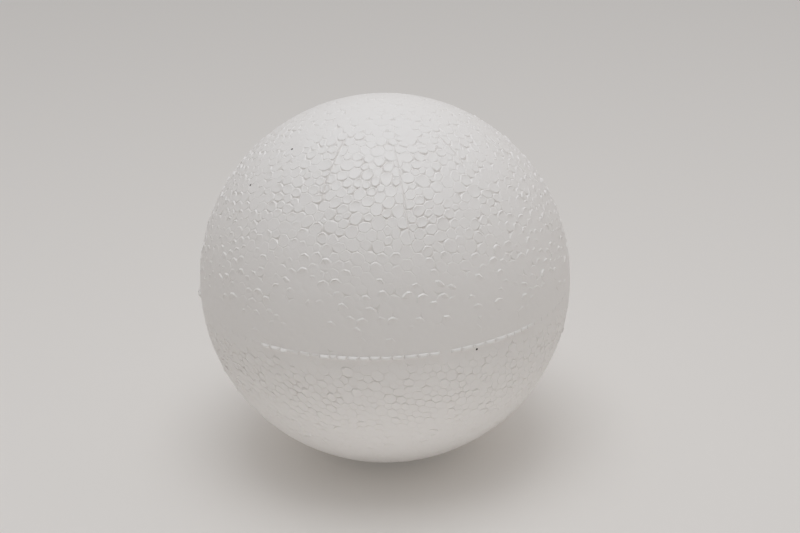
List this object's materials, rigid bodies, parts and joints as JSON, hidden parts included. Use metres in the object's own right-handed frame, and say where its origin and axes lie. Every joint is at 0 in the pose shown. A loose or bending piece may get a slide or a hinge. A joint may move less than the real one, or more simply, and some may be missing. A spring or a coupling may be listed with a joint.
{
  "type": "polystyrene ball",
  "caption": "Solid moulded foam ball with a fused-bead surface, a thin raised parting line round its middle and eleven faint creases along meridians of its upper half.",
  "frame": {"origin": "centre of the ball", "axes": "+Z along the axis that the mould opens on, towards the half with the creases; the parting line lies in the XY plane; -Y faces the front, and the flash stands highest on the -X side"},
  "size_m": [0.1005, 0.1006, 0.1],
  "materials": {
    "foam": "satin"
  },
  "bodies": {
    "root": {"ball": "foam"}
  },
  "joints": []
}
